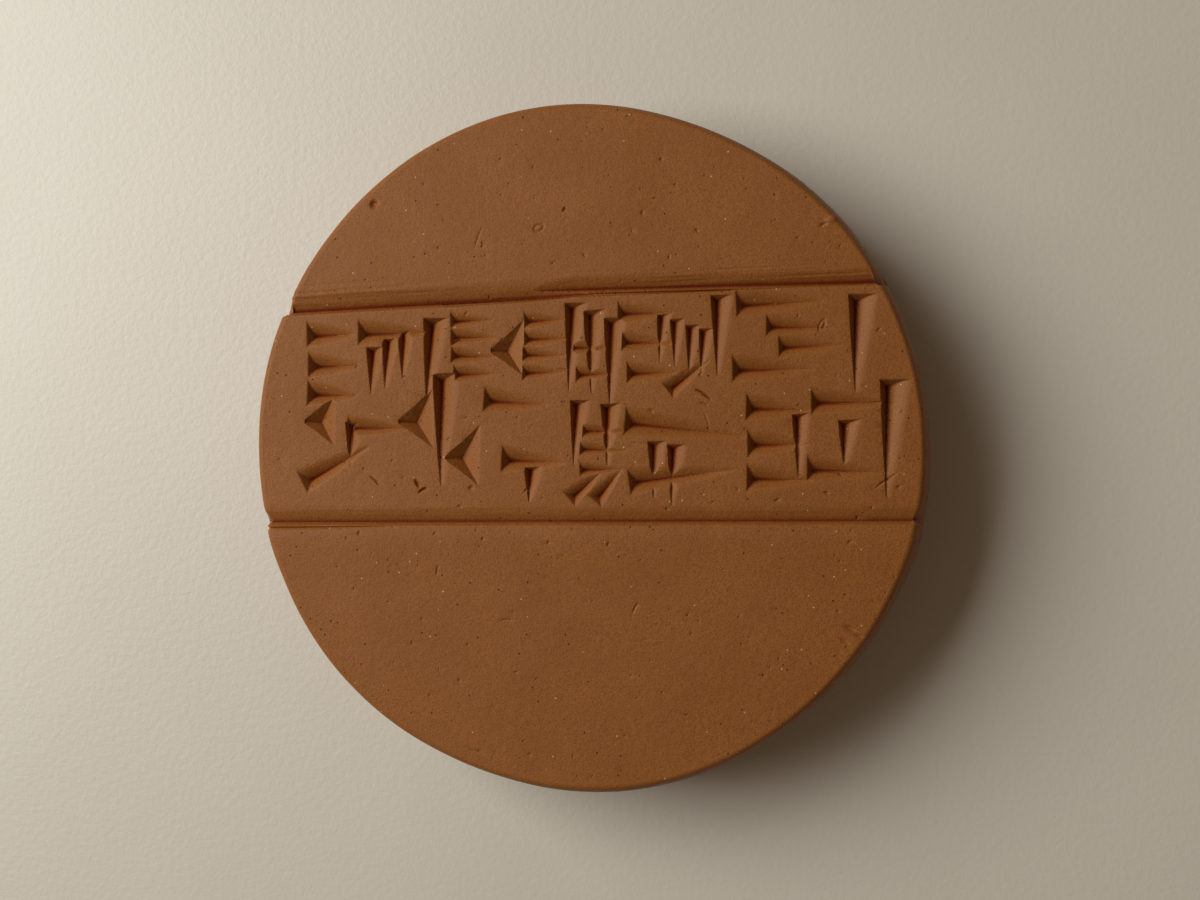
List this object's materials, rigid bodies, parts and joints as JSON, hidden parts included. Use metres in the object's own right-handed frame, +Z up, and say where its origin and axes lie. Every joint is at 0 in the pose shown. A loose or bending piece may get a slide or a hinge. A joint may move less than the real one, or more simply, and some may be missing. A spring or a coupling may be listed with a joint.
{
  "type": "cuneiform tablet",
  "caption": "Round hand-shaped clay practice tablet, domed on its written face, with two ruled lines and two rows of wedge strokes; it lies flat on its underside.",
  "frame": {"origin": "middle of the footprint, on the plane that the tablet lies on", "axes": "+Z up out of the written face, the thickness; +Y towards the top of the writing, the longest extent; +X along the rows of strokes"},
  "size_m": [0.0802, 0.0818, 0.018],
  "materials": {
    "clay": "matt unglazed terracotta clay, fine sandy grain, pale specks and small dark pits"
  },
  "bodies": {
    "root": {"tablet": "clay"}
  },
  "joints": []
}
